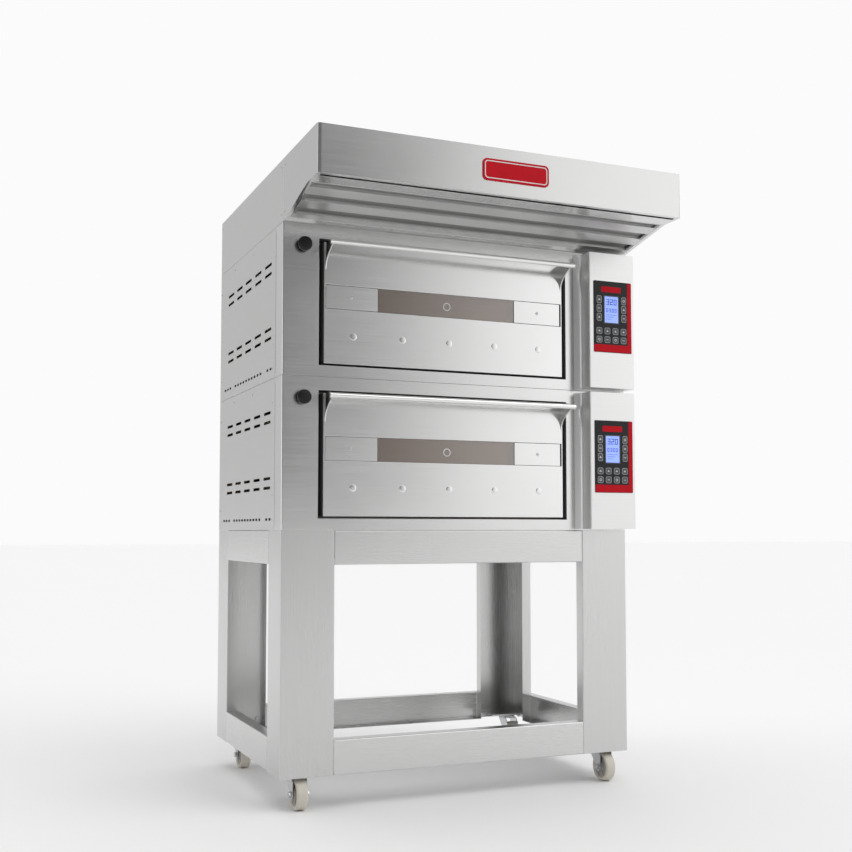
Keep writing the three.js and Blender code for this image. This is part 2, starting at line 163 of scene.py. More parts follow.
SATIN = brushed("satin_steel", (0.72, 0.72, 0.715), 0.20, (5, 5, 900))
# Painted shade: hood_steel is the satin steel in a darker copy, for the shade that falls on the hood's fascia
# and underside.
HOOD = brushed("hood_steel", (0.65, 0.65, 0.645), 0.20, (5, 5, 900))
# Painted light: door_steel is the satin steel in a lighter copy, for the light that falls on the doors.
DOOR_STEEL = brushed("door_steel", (0.77, 0.77, 0.765), 0.20, (5, 5, 900))
# Painted light: cover_steel is the satin steel in a lighter copy, for the light on the control boxes' fronts.
COVER = brushed("cover_steel", (0.78, 0.78, 0.775), 0.34, (5, 5, 900))
SIDE = brushed("side_steel", (0.68, 0.68, 0.675), 0.33, (5, 5, 900))
STAND = brushed("stand_steel", (0.64, 0.64, 0.635), 0.28, (900, 900, 5), 0.003, 0.012)
RAIL = brushed("rail_steel", (0.68, 0.68, 0.675), 0.27, (5, 5, 900), 0.004, 0.012)
BRIGHT = brushed("bright_steel", (0.82, 0.82, 0.81), 0.20, (4, 700, 700), 0.02, 0.03)
ZINC = brushed("zinc_steel", (0.62, 0.63, 0.64), 0.28, (40, 40, 40), 0.03)
SLAT = brushed("slat_steel", (0.60, 0.60, 0.595), 0.36, (4, 500, 500), 0.02)
# Painted shade: the baffle channels' steel is made dark for the shade inside the hood's grooves.
CHANNEL_SHADE = brushed("channel_shade_steel", (0.34, 0.34, 0.335), 0.44, (4, 500, 500), 0.02)
LINER = brushed("liner_steel", (0.36, 0.34, 0.31), 0.45, (6, 6, 300), 0.05)
ELEMENT = brushed("element_steel", (0.12, 0.11, 0.10), 0.5, (80, 80, 80), 0.06)
DARK = plain("shadow_black", (0.012, 0.012, 0.012), 0.6)
KNOB = plain("black_plastic", (0.006, 0.006, 0.007), 0.42, 300.0, Specular_IOR_Level=0.3)
NYLON = plain("nylon", (0.66, 0.62, 0.54), 0.45, 160.0, 0.08, vary=0.93)
HUB = plain("grey_hub", (0.42, 0.40, 0.37), 0.5, 160.0)
STONE = plain("fired_clay", (0.66, 0.53, 0.38), 0.9, 240.0, 0.35, 0.0012, 0.78)
WOOL = plain("mineral_wool", (0.62, 0.52, 0.28), 0.95, 500.0, 0.6, 0.002, 0.8)
# Both a real gasket and painted shade: the same black also lines the door opening and the door's sides for
# the shade in the gap around each door.
GASKET_AND_SHADE = plain("gasket_and_shade_black", (0.10, 0.10, 0.095), 0.85, 400.0, 0.4, 0.0008)
FILM = plain("keypad_film", (0.008, 0.008, 0.010), 0.36, 500.0, 0.05, Specular_IOR_Level=0.3)
KEY = plain("keypad_key", (0.09, 0.095, 0.10), 0.36, 500.0, 0.05, Specular_IOR_Level=0.3)
RIM = plain("keypad_rim", (0.30, 0.31, 0.32), 0.4, 500.0, 0.05)
PRINT = plain("keypad_print", (0.72, 0.72, 0.72), 0.4, 500.0)
RED = plain("red_print", (0.52, 0.001, 0.010), 0.5, 400.0, Specular_IOR_Level=0.15)
INK = plain("screen_ink", (0.12, 0.18, 0.62), 0.4, 400.0)


def screen_finish():
    f = Finish("screen_blue", (0.30, 0.42, 1.0), 0.22)
    f.set("Emission Color", (0.20, 0.30, 1.0, 1))
    f.set("Emission Strength", 0.55)
    speckle = f.mixed(f.ranged(f.noise(700), 0, 1), (0.26, 0.38, 0.95), (0.34, 0.46, 1.0))
    f.link(speckle, f.shader.inputs["Base Color"])
    return f.material


def glass_finish(name, color, rough, share, coat=0.0, glow=(0, 0, 0), strength=0.0):
    f = Finish(name, color, rough, 0.0)
    f.set("Emission Color", (*glow, 1))
    f.set("Emission Strength", strength)
    f.set("Transmission Weight", share)
    f.set("IOR", 1.5)
    f.set("Coat Weight", coat)
    f.set("Coat IOR", 2.0)
    f.set("Coat Roughness", 0.04)
    f.link(f.ranged(f.noise(5.0), rough, rough + 0.05), f.shader.inputs["Roughness"])
    return f.material


SCREEN = screen_finish()
GLASS = glass_finish("bronze_glass", (0.49, 0.38, 0.31), 0.03, 0.78, coat=1.0)
LAMP_GLASS = glass_finish("lamp_glass", (0.85, 0.80, 0.68), 0.35, 0.5, glow=(1.0, 0.80, 0.58), strength=11.0)


# ---- building ------------------------------------------------------------------------------------
def arc(cx, cy, r, start, end, steps):
    """Points on a circle from one angle to another, in degrees."""
    turn = [math.radians(start + (end - start) * i / steps) for i in range(steps + 1)]
    return [(cx + r * math.cos(t), cy + r * math.sin(t)) for t in turn]


def rounded(a0, a1, b0, b1, r, steps=5):
    """A rectangle with rounded corners, counter-clockwise."""
    corners = ((a1 - r, b0 + r, -90), (a1 - r, b1 - r, 0), (a0 + r, b1 - r, 90), (a0 + r, b0 + r, 180))
    return [p for a, b, t in corners for p in arc(a, b, r, t, t + 90, steps)]


def rectangle(a0, a1, b0, b1):
    return [(a0, b0), (a1, b0), (a1, b1), (a0, b1)]


def circle(a, b, r, steps=12):
    return arc(a, b, r, 0, 360, steps)[:-1]


PLACE = {
    "x": lambda a, b, h: (h, a, b),
    "y": lambda a, b, h: (a, h, b),
    "z": lambda a, b, h: (a, b, h),
}


class Shape:
    """Closed shells collected in oven millimetres, then made into one object."""

    def __init__(self):
        self.verts, self.faces = [], []

    def shell(self, verts, faces):
        base = len(self.verts)
        self.verts += [tuple(v) for v in verts]
        self.faces += [tuple(base + i for i in f) for f in faces]
        return self

    def plate(self, outline, axis, lo, hi, holes=()):
        """A flat outline with holes, as thick as lo to hi along the axis."""
        loops = [list(outline), *[list(h) for h in holes]]
        points = [p for loop in loops for p in loop]
        n = len(points)
        tris = tessellate_polygon([[Vector((a, b, 0)) for a, b in loop] for loop in loops])
        verts = [PLACE[axis](a, b, h) for h in (lo, hi) for a, b in points]
        faces = [tuple(t) for t in tris] + [tuple(n + i for i in reversed(t)) for t in tris]
        start = 0
        for loop in loops:
            m = len(loop)
            for i in range(m):
                a, b = start + i, start + (i + 1) % m
                faces.append((a, b, n + b, n + a))
            start += m
        return self.shell(verts, faces)

    def block(self, x0, x1, y0, y1, z0, z1):
        return self.plate(rectangle(x0, x1, z0, z1), "y", y0, y1)

    def lathe(self, profile, axis, centre, steps=40):
        """A profile of (radius, height) turned about an axis through centre. Radius 0 closes an end."""
        cx, cy, cz = centre
        rings, verts, faces = [], [], []
        for r, h in profile:
            count = 1 if r == 0 else steps
            rings.append((len(verts), count))
            for i in range(count):
                t = 2 * math.pi * i / steps
                x, y, z = PLACE[axis](r * math.cos(t), r * math.sin(t), h)
                verts.append((cx + x, cy + y, cz + z))
        pairs = list(zip(rings, rings[1:]))
        if profile[0][0] and profile[-1][0]:
            pairs.append((rings[-1], rings[0]))
        for (a, na), (b, nb) in pairs:
            for i in range(steps):
                j = (i + 1) % steps
                low = [a + i, a + j] if na > 1 else [a, a]
                high = [b + j, b + i] if nb > 1 else [b, b]
                ring = low + high
                face = list(dict.fromkeys(ring))
                if len(face) > 2:
                    faces.append(face)
        return self.shell(verts, faces)

    def tube(self, path, r, sides=14, closed=False):
        """A round tube along points."""
        points = [Vector(p) for p in path]
        n = len(points)
        verts, faces = [], []
        side = None
        for i, p in enumerate(points):
            before = points[i - 1] if i or closed else p
            after = points[(i + 1) % n] if i < n - 1 or closed else p
            along = (after - before).normalized()
            if side is None:
                side = along.orthogonal().normalized()
            side = (side - along * side.dot(along)).normalized()
            up = along.cross(side)
            for k in range(sides):
                t = 2 * math.pi * k / sides
                verts.append(p + side * (r * math.cos(t)) + up * (r * math.sin(t)))
        for i in range(n if closed else n - 1):
            for k in range(sides):
                a, b = i * sides, ((i + 1) % n) * sides
                faces.append((a + k, a + (k + 1) % sides, b + (k + 1) % sides, b + k))
        if not closed:
            faces.append(tuple(reversed(range(sides))))
            faces.append(tuple((n - 1) * sides + k for k in range(sides)))
        return self.shell(verts, faces)

    def make(self, name, material, body, slot, replaces=(), bevel=0.0, segments=2, angle=32):
        mesh = bpy.data.meshes.new(name)
        mesh.from_pydata([at(*v) for v in self.verts], [], self.faces)
        work = bmesh.new()
        work.from_mesh(mesh)
        bmesh.ops.recalc_face_normals(work, faces=work.faces)
        work.to_mesh(mesh)
        work.free()
        obj = bpy.data.objects.new(name, mesh)
        bpy.context.scene.collection.objects.link(obj)
        mesh.materials.append(material)
        mesh.shade_smooth()
        mesh.set_sharp_from_angle(angle=math.radians(angle))
        soften(obj, bevel, segments, angle)
        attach(obj, body)
        if replaces:
            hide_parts(*replaces)
        return obj


def soften(obj, width, segments=2, angle=32):
    """Rounds the folded and sheared edges, and keeps the flat faces flat in shading."""
    if width:
        m = obj.modifiers.new("edges", "BEVEL")
        m.width = width / 1000
        m.segments = segments
        m.limit_method = "ANGLE"
        m.angle_limit = math.radians(angle)
        m.use_clamp_overlap = True
    m = obj.modifiers.new("normals", "WEIGHTED_NORMAL")
    m.keep_sharp = not width


def dress(node, material, width=0.6, segments=2):
    """Gives a CAD node its finish and softened edges."""
    obj = NODES[node]
    obj.data.materials.clear()
    obj.data.materials.append(material)
    weld = obj.modifiers.new("weld", "WELD")
    weld.merge_threshold = 2e-5
    obj.data.polygons.foreach_set("use_smooth", [True] * len(obj.data.polygons))
    soften(obj, width, segments)


def fastener(shape, x, y, z, axis, out, r=4.0, rise=2.2):
    """A low domed screw head with a cross recess ring, standing out along +axis or -axis."""
    profile = [(0, -0.3), (r, -0.3), (r, 0), (r, rise * 0.35), (r * 0.82, rise * 0.8)]
    profile += [(r * 0.45, rise), (r * 0.4, rise * 0.55), (0, rise * 0.5)]
    profile = [(a, out * h) for a, h in profile]
    return shape.lathe(profile, axis, (x, y, z), 20)


def hexagon(shape, x, y, z, axis, across, lo, hi):
    """A hex nut or bolt head about an axis."""
    a, b = {"x": (y, z), "y": (x, z), "z": (x, y)}[axis]
    corners = arc(0, 0, across / math.sqrt(3), 0, 360, 6)[:-1]
    return shape.plate([(a + p, b + q) for p, q in corners], axis, lo, hi)


# ---- stand ---------------------------------------------------------------------------------------
def stand():
    for row in ("front", "rear"):
        for side in ("left", "right"):
            dress(f"leg_{row}_{side}", STAND, 0.9, 2)
    for level in ("top", "bottom"):
        for where in ("front", "rear", "left", "right"):
            dress(f"rail_{level}_{where}", RAIL, 0.9, 2)
    bolts = Shape()
    for z in (130, 660):
        for x, turn in ((2, 1), (WIDTH - 2, -1)):
            for y in (100, 600):
                hexagon(bolts, x, y, z, "x", 10, *sorted((x + 0.2 * turn, x + 5 * turn)))
        for y, turn in ((2, 1), (DEPTH - 2, -1)):
            for x in (125, WIDTH - 125):
                hexagon(bolts, x, y, z, "y", 10, *sorted((y + 0.2 * turn, y + 5 * turn)))
    bolts.make("stand_bolts", ZINC, "frame", "zinc_steel", bevel=0.4)


def castors():
    wheel_r, half, top, trail = 40.0, 16.0, 105.0, 30.0
    turn = (0.0, 0.4, 0.8, 1.2, 1.57)
    shoulder = [(wheel_r - 5 + 5 * math.sin(t), half - 5.5 + 4.5 * math.cos(t)) for t in reversed(turn)]
    tyre = [(30, -half + 3.5), (34, -half + 1), *[(r, -h) for r, h in reversed(shoulder)]]
    tyre += [(wheel_r, -4), (wheel_r, 4), *shoulder, (34, half - 1), (30, half - 3.5)]
    web = [(30.2, half - 3.5), (27, half - 6), (15, half - 6), (14, half - 1), (12, half), (4.05, half)]
    web = [(r, -h) for r, h in reversed(web)] + web
    for row, y in (("front", 60.0), ("rear", 640.0)):
        for side, x in (("left", 60.0), ("right", 970.0)):
            tag = f"{row}_{side}"
            plate = Shape().plate(rounded(x - 38, x + 38, y - 38, y + 38, 8), "z", top - 3.4, top - 0.3)
            plate.lathe([(0, top - 6), (22, top - 6), (26, top - 3.4), (0, top - 3.4)], "z", (x, y, 0))
            for dx in (-28, 28):
                for dy in (-28, 28):
                    hexagon(plate, x + dx, y + dy, 0, "z", 11, top - 8.4, top - 3.4)
                    stem = [(0, top - 12), (3, top - 12), (3, top - 8), (0, top - 8)]
                    plate.lathe(stem, "z", (x + dx, y + dy, 0), 16)
            plate.make(f"castor_plate_{tag}", ZINC, "frame", "zinc_steel", bevel=0.5)

            fork = Shape()
            race = [(0, top - 15), (20, top - 15), (24.5, top - 12), (25, top - 9)]
            race += [(24, top - 6.4), (0, top - 6.4)]
            fork.lathe(race, "z", (x, y, 0))
            yw = y - trail
            hub_at = (x, yw, wheel_r)
            outline = [(y + 22, top - 12.5), (y + 23, top - 17), (y + 8, top - 34), (yw + 13, wheel_r + 4)]
            outline += arc(yw, wheel_r, 13, 15, -195, 14)
            outline += [(y - 40, top - 30), (y - 27, top - 14), (y - 20, top - 12.5)]
            for s in (-1, 1):
                lo, hi = sorted((x + s * (half + 2), x + s * (half + 4.5)))
                fork.plate(outline, "x", lo, hi)
                washer = [(0, 0), (8.5, 0), (8.5, s * 1.5), (0, s * 1.5)]
                fork.lathe(washer, "x", (x + s * (half + 4.5), yw, wheel_r), 24)
                hexagon(fork, *hub_at, "x", 13, *sorted((x + s * (half + 6), x + s * (half + 11))))
            crown = rounded(x - half - 4.5, x + half + 4.5, y - 21, y + 22, 6)
            fork.plate(crown, "z", top - 15.5, top - 12.5)
            fork.lathe([(0, -half - 7), (4, -half - 7), (4, half + 7), (0, half + 7)], "x", hub_at, 20)
            fork.make(
                f"castor_yoke_{tag}", ZINC, f"fork_{tag}", "zinc_steel", [f"castor_fork_{tag}"], bevel=0.6)

            wheel = Shape().lathe(tyre, "x", hub_at, 64)
            wheel.make(
                f"castor_tread_{tag}", NYLON, f"wheel_{tag}", "nylon", [f"castor_wheel_{tag}"], bevel=0.4)
            hub = Shape().lathe(web, "x", hub_at, 48)
            for k in range(6):
                t = math.radians(60 * k)
                for s in (-1, 1):
                    c, d = math.cos(t), math.sin(t)
                    spoke = ((13, -1.5), (29, -1.5), (29, 1.5), (13, 1.5))
                    rib = [(yw + c * a - d * w, wheel_r + d * a + c * w) for a, w in spoke]
                    hub.plate(rib, "x", *sorted((x + s * (half - 6.5), x + s * (half - 3.8))))
            hub.make(f"castor_hub_{tag}", HUB, f"wheel_{tag}", "nylon", bevel=0.4)


# ---- one deck ------------------------------------------------------------------------------------
WINDOW = (263.0, 670.0, 181.0, 245.0)
DOOR = (112.0, 824.0, 36.0, 357.0)
OUTLET = (55.5, 344.0)  # x and height of the steam outlet and its pull rod
LAMP = (806.0, 230.0, 262.0)
SHEET = 2.0


def door(deck, b):
    body = f"{deck}_door"
    x0, x1, z0, z1 = DOOR[0], DOOR[1], b + DOOR[2], b + DOOR[3]
    w0, w1, v0, v1 = WINDOW[0], WINDOW[1], b + WINDOW[2], b + WINDOW[3]

    def ring(a0, a1, y, c0, c1):
        return [(a0, y, c0), (a1, y, c0), (a1, y, c1), (a0, y, c1)]

    loops = [ring(x0, x1, 0, z0, z1), ring(x0 + 4, x1 - 4, 0, v0, v1), ring(x0 + 4, x1 - 4, 2, v0, v1)]
    loops += [ring(x0 + 2, x1 - 2, y, z0 + 2, z1 - 2) for y in (2, 43)] + [ring(x0, x1, 43, z0, z1)]
    verts = [v for loop in loops for v in loop]
    faces = []
    for i in range(6):
        a, c = 4 * i, 4 * ((i + 1) % 6)
        faces += [(a + k, a + (k + 1) % 4, c + (k + 1) % 4, c + k) for k in range(4)]
    skin = Shape().shell(verts, faces)
    # The door pieces wear the lighter door copy of the steel: painted light.
    skin.make(
        f"{deck}_door_skin", DOOR_STEEL, body, "satin_steel", [f"{deck}_door_shell"], bevel=1.2, segments=3)

    strip = Shape()
    for lo, hi in ((x0 + 5.2, w0 - 0.6), (w1 + 0.6, x1 - 7.5)):
        strip.block(lo, hi, 0.7, 2.7, v0 + 1.0, v1 - 1.0)
    strip.make(f"{deck}_door_strip", DOOR_STEEL, body, "satin_steel", bevel=0.6)
    heads = Shape()
    for x in (187, 744):
        fastener(heads, x, 0.7, b + 213, "y", -1, 4.2)
    heads.make(f"{deck}_door_screws", ZINC, body, "zinc_steel")

    studs = Shape()
    for x in (194, 334, 471, 609, 747):
        dome = [(0, -0.7), (6.5, -0.66), (8.6, -0.5), (9.4, -0.2), (9.5, 0.1), (9.5, 0.4), (0, 0.4)]
        studs.lathe(dome, "y", (x, 0, b + 110), 36)
    studs.make(f"{deck}_door_studs", DOOR_STEEL, body, "satin_steel", bevel=0.3)

    tunnel = Shape()
    tunnel.plate(rectangle(w0 - 7, w1 + 7, v0 - 7, v1 + 7), "y", 6.6, 36, [rectangle(w0, w1, v0, v1)])
    tunnel.block(x0 + 4, w0 - 8, 3.4, 5.0, v0 - 8, v1 + 8).block(w1 + 8, x1 - 4, 3.4, 5.0, v0 - 8, v1 + 8)
    tunnel.make(f"{deck}_window_tunnel", DARK, body, "liner_steel", bevel=0.5)
    panes = Shape().block(w0 + 0.4, w1 - 0.4, 0.9, 5.7, v0 + 0.4, v1 - 0.4)
    panes.make(f"{deck}_window_pane", GLASS, body, "bronze_glass", [f"{deck}_door_glass"], bevel=0.5)
    inner = Shape().block(w0 + 0.4, w1 - 0.4, 31, 35, v0 + 0.4, v1 - 0.4)
    inner.make(f"{deck}_inner_pane", GLASS, body, "bronze_glass", bevel=0.5)

    mark = Shape()
    cx, cz = (w0 + w1) / 2 - 2, b + 211
    mark.plate(circle(cx, cz, 11, 32), "y", 0.75, 0.9, [circle(cx, cz, 8.6, 32)])
    mark.make(f"{deck}_window_mark", PRINT, body, "bronze_glass")

    hx0, hx1, hy, hz, hr = 109.0, 830.0, -62.0, b + 345.0, 7.0
    ends = [(0, hx0 - 1), (4.5, hx0 - 1), (6.4, hx0 - 0.2), (hr, hx0 + 1.4)]
    bar = Shape().lathe([*ends, *[(r, hx0 + hx1 - h) for r, h in reversed(ends)]], "x", (0, hy, hz), 40)
    bar.make(f"{deck}_handle_bar", BRIGHT, body, "bright_steel", [f"{deck}_door_handle"])
    root = b + 283.0
    curve = []
    for i in range(25):
        t = i / 24
        curve.append((
            (1 - t) ** 2 * -0.3 + 2 * t * (1 - t) * -3 + t * t * (hy + 1),
            (1 - t) ** 2 * root + 2 * t * (1 - t) * (root + 34) + t * t * (hz - 6),
        ))
    top = [(hy + 1, hz + 6), (-30, z1 + 1), (-0.3, z1)]
    gussets = Shape()
    for x in (115.0, 818.0):
        gussets.plate(curve + top, "x", x, x + 3)
    gussets.make(f"{deck}_handle_gussets", DOOR_STEEL, body, "bright_steel", bevel=0.8)
    dress(f"{deck}_door_liner", LINER, 0.5)
    # Painted shade: a thin black sleeve round the door's sides for the shade in the gap to the opening.
    outer = rectangle(x0 - 0.6, x1 + 0.6, z0 - 0.6, z1 + 0.6)
    edge = Shape().plate(outer, "y", 3, 42.5, [rectangle(x0 - 0.05, x1 + 0.05, z0 - 0.05, z1 + 0.05)])
    edge.make(f"{deck}_door_edge_shade", GASKET_AND_SHADE, body, "liner_steel", bevel=0.2)


def keypad(deck, b):
    x0, width, top, height = 896.0, 124.6, b + 311.0, 205.0
    face = -57.5

    def patch(shape, u0, u1, v0, v1, lift, r=0.0):
        """A patch by shares of the keypad's width and of its height from the top."""
        a0, a1, c0, c1 = x0 + u0 * width, x0 + u1 * width, top - v1 * height, top - v0 * height
        outline = rounded(a0, a1, c0, c1, r) if r else rectangle(a0, a1, c0, c1)
        return shape.plate(outline, "y", face - lift, face)

    film = Shape().plate(rounded(x0, x0 + width, top - height, top, 3), "y", face, -56.3)
    film.make(f"{deck}_keypad_film", FILM, "frame", "keypad_film", [f"{deck}_control_keypad"], bevel=0.25)
    red = patch(Shape(), 0.892, 0.994, 0.006, 0.994, 0.12)
    patch(red, 0.006, 0.892, 0.890, 0.994, 0.12)
    patch(red, 0.20, 0.72, 0.075, 0.155, 0.3, 3.5)
    red.make(f"{deck}_keypad_red", RED, "frame", "keypad_film")
    bezel = patch(Shape(), 0.262, 0.664, 0.200, 0.596, 0.5, 2.0)
    bezel.make(f"{deck}_screen_bezel", KEY, "frame", "keypad_film", bevel=0.2)
    screen = patch(Shape(), 0.285, 0.641, 0.215, 0.581, 0.7, 1.0)
    screen.make(f"{deck}_screen", SCREEN, "frame", "keypad_film", bevel=0.15)

    keys, rims, prints = Shape(), Shape(), Shape()
    spots = [(u, v, 0.13, 0.11) for u in (0.14, 0.795) for v in (0.262, 0.386, 0.510)]
    spots += [(u, v, 0.150, 0.092) for u in (0.139, 0.352, 0.568, 0.784) for v in (0.700, 0.822)]
    for i, (u, v, w, h) in enumerate(spots):
        kx, kz = x0 + u * width, top - v * height
        a, c = w * width / 2, h * height / 2
        keys.plate(rounded(kx - a, kx + a, kz - c, kz + c, 4.5, 6), "y", face - 0.4, face)
        inside = rounded(kx - a + 1.6, kx + a - 1.6, kz - c + 1.6, kz + c - 1.6, 3.1, 6)
        rims.plate(rounded(kx - a, kx + a, kz - c, kz + c, 4.5, 6), "y", face - 0.55, face - 0.3, [inside])
        d, flip = 3.6, -1 if i % 2 else 1
        if i % 4 == 3:
            prints.plate(circle(kx, kz, d, 20), "y", face - 0.52, face - 0.3, [circle(kx, kz, d * 0.62, 20)])
        elif i % 4 == 1:
            prints.plate(rectangle(kx - d, kx + d, kz - 0.8, kz + 0.8), "y", face - 0.52, face - 0.3)
        else:
            arrow = [(kx - d, kz - 2 * flip), (kx + d, kz - 2 * flip), (kx, kz + 3 * flip)]
            prints.plate(arrow, "y", face - 0.52, face - 0.3)
    keys.make(f"{deck}_keypad_keys", KEY, "frame", "keypad_film", bevel=0.2)
    rims.make(f"{deck}_keypad_rims", RIM, "frame", "keypad_film")
    prints.make(f"{deck}_keypad_symbols", PRINT, "frame", "keypad_film")

    ink = Shape()
    segments = {"0": "abcdef", "2": "abged", "3": "abgcd"}

    def digit(char, x, z, size):
        w, t = size * 0.5, size * 0.09
        spans = {
            "a": (0, w, size, size), "g": (0, w, size / 2, size / 2), "d": (0, w, 0, 0),
            "f": (0, 0, size / 2, size), "b": (w, w, size / 2, size),
            "e": (0, 0, 0, size / 2), "c": (w, w, 0, size / 2),
        }
        for key in segments[char]:
            a0, a1, c0, c1 = spans[key]
            ink.plate(rectangle(x + a0 - t, x + a1 + t, z + c0 - t, z + c1 + t), "y", face - 0.8, face - 0.6)

    for i, char in enumerate("320"):
        digit(char, x0 + (0.335 + 0.1 * i) * width, top - 0.325 * height, 14)
    for i, char in enumerate("0300"):
        digit(char, x0 + (0.33 + 0.075 * i) * width, top - 0.43 * height, 9)
    for row in range(3):
        z = top - (0.475 + 0.03 * row) * height
        line = rectangle(x0 + 0.32 * width, x0 + (0.60 - 0.07 * row) * width, z, z + 1.3)
        ink.plate(line, "y", face - 0.8, face - 0.6)
    ink.make(f"{deck}_screen_figures", INK, "frame", "keypad_film")


def control_box(deck, b):
    x0, x1, out, r = 882.0, WIDTH, -56.0, 20.0
    outline = [(x1, -0.3), (x0 - r, -0.3)]
    for i in range(17):
        t = math.pi / 2 * i / 16
        outline.append((x0 - r + r * math.sin(t), -1.3 - r + r * math.cos(t)))
    outline += arc(x0 + 2.5, out + 2.5, 2.5, 180, 270, 5) + arc(x1 - 2.5, out + 2.5, 2.5, 270, 360, 5)
    box = Shape().plate(outline, "z", b + 4, b + 392)
    # The control cover wears the lighter cover copy of the steel: painted light.
    box.make(
        f"{deck}_control_cover", COVER, "frame", "satin_steel", [f"{deck}_control_box"],
        bevel=1.2, segments=3, angle=40)
    keypad(deck, b)


def side_holes(b):
    """Two double rows of vent slots, and a broken line of short slots below them."""
    holes = []
    for z in (112, 137, 287, 312):
        for y0, y1 in ((108, 176), (214, 282), (322, 390), (427, 493), (530, 600)):
            holes.append(rounded(y0, y1, b + z - 4, b + z + 4, 3.9, 4))
    for first, count in ((80, 3), (216, 10), (568, 3)):
        for y in [first + 32 * i for i in range(count)]:
            holes.append(rounded(y - 10, y + 10, b + 25, b + 32, 3.4, 3))
    return holes


def panels(deck, b):
    top = b + 399.5
    for side, x in (("left", 0.0), ("right", WIDTH - SHEET)):
        panel = Shape().plate(rectangle(70.4, DEPTH, b + 0.3, top), "x", x, x + SHEET, side_holes(b))
        panel.make(
            f"{deck}_side_{side}_sheet", SIDE, "frame", "satin_steel", [f"{deck}_side_{side}"], bevel=0.5)
        out, face = (-1, 0.0) if side == "left" else (1, WIDTH)
        rib = [(face + out * 1.3 * math.sin(math.pi * t), 63 + 24 * t) for t in [i / 16 for i in range(17)]]
        seam = Shape().plate([*rib, (face, 87), (face, 63)][1:-1], "z", b + 12, b + 388)
        seam.make(f"{deck}_side_{side}_seam_cover", SIDE, "frame", "satin_steel", bevel=0.3)
        heads = Shape()
        for y, z in ((84, 335), (84, 90), (686, 335), (686, 60), (300, 380), (520, 380)):
            fastener(heads, face, y, b + z, "x", out, 4.0, 1.8)
        heads.make(f"{deck}_side_{side}_screws", ZINC, "frame", "zinc_steel")
    back = Shape()
    pipe, gland = (OUTLET[0], b + OUTLET[1]), (950.0, b + 60)
    outline = rectangle(2.3, WIDTH - 2.3, b + 0.3, top)
    back.plate(outline, "y", DEPTH - SHEET, DEPTH, [circle(*pipe, 17.6, 40)])
    back.make(f"{deck}_rear_sheet", SIDE, "frame", "satin_steel", [f"{deck}_rear_panel"], bevel=0.5)
    collar = [(17.6, 0), (27, 0), (27, 2), (21.5, 3), (20, 5), (20, 39), (19.6, 40), (18, 40), (17.6, 39)]
    stub = Shape().lathe(collar, "y", (pipe[0], DEPTH, pipe[1]))
    stub.make(f"{deck}_steam_stub", BRIGHT, "frame", "satin_steel", bevel=0.3)
    nut = Shape()
    hexagon(nut, gland[0], 0, gland[1], "y", 28, DEPTH + 0.2, DEPTH + 8)
    cap = [(0, 8), (12.5, 8), (12.5, 14), (11, 18), (9.5, 22), (7, 24), (0, 24.4)]
    nut.lathe(cap, "y", (gland[0], DEPTH, gland[1]))
    nut.make(f"{deck}_cable_gland", KNOB, "frame", "satin_steel", bevel=0.6)
    heads = Shape()
    for x in (20, 270, 515, 760, WIDTH - 20):
        for z in (16, 384):
            fastener(heads, x, DEPTH, b + z, "y", 1, 4.0, 1.8)
    heads.make(f"{deck}_rear_screws", ZINC, "frame", "zinc_steel")
    tag = Shape().plate(rounded(820, 900, b + 40, b + 90, 3), "y", DEPTH + 0.1, DEPTH + 0.8)
    tag.make(f"{deck}_blank_tag", BRIGHT, "frame", "satin_steel", bevel=0.2)


def element(deck, level, z):
    """The folded heating tube, with both ends at the right-hand wall."""
    x0, x1, wall = 152.0, 782.0, 806.0
    rows, first, step = 8, 88.0, (572.0 - 80.0) / 7
    r = step / 2
    path = [(wall - 0.4, first, z)]
    for i in range(rows - 1):
        y = first + i * step
        left = i % 2 == 0
        cx = x0 - 4 + r if left else x1 + 4 - r
        for k in range(13):
            t = math.pi * k / 12
            path.append((cx + (-1 if left else 1) * r * math.sin(t), y + r - r * math.cos(t), z))
    path.append((wall - 0.4, first + (rows - 1) * step, z))
    tube = Shape().tube(path, 3.9, 14)
    for y in (path[0][1], path[-1][1]):
        hexagon(tube, 0, y, z, "x", 12, wall - 6, wall - 0.3)
    tube.make(f"{deck}_element_{level}_tube", ELEMENT, "frame", "element_steel", [f"{deck}_element_{level}"])


def chamber(deck, b):
    dress(f"{deck}_chamber_liner", LINER, 0.6)
    dress(f"{deck}_insulation", WOOL, 0.8)
    dress(f"{deck}_baking_stone", STONE, 2.0, 3)
    element(deck, "top", b + 284)
    element(deck, "bottom", b + 104)
    o0, o1, p0, p1 = 98.1, 835.9, b + 30.1, b + 364.9
    inside = rectangle(o0 + 0.8, o1 - 0.8, p0 + 0.8, p1 - 0.8)
    # Painted shade: a thin black lining inside the opening for the shade in the gap round the door.
    lining_shade = Shape().plate(rectangle(o0, o1, p0, p1), "y", 3, 47, [inside])
    lining_shade.make(f"{deck}_opening_shade_lining", GASKET_AND_SHADE, "frame", "liner_steel", bevel=0.2)
    loop = [(x, 46.7, z) for x, z in rounded(119, 815, b + 88, b + 305, 14, 8)]
    Shape().tube(loop, 1.25, 12, True).make(f"{deck}_door_gasket", GASKET_AND_SHADE, "frame", "liner_steel")
    spot = (LAMP[0], LAMP[1], b + LAMP[2])
    lamp = Shape().lathe([(0, -9), (14, -8), (21, -4.5), (23, -0.6), (0, -0.6)], "x", spot, 40)
    lamp.make(f"{deck}_lamp_glass", LAMP_GLASS, "frame", "bronze_glass")
    bezel = Shape().lathe([(23.4, -0.4), (23.4, -4), (27, -4.5), (30, -2), (30, -0.4)], "x", spot, 40)
    bezel.make(f"{deck}_lamp_bezel", ZINC, "frame", "liner_steel")


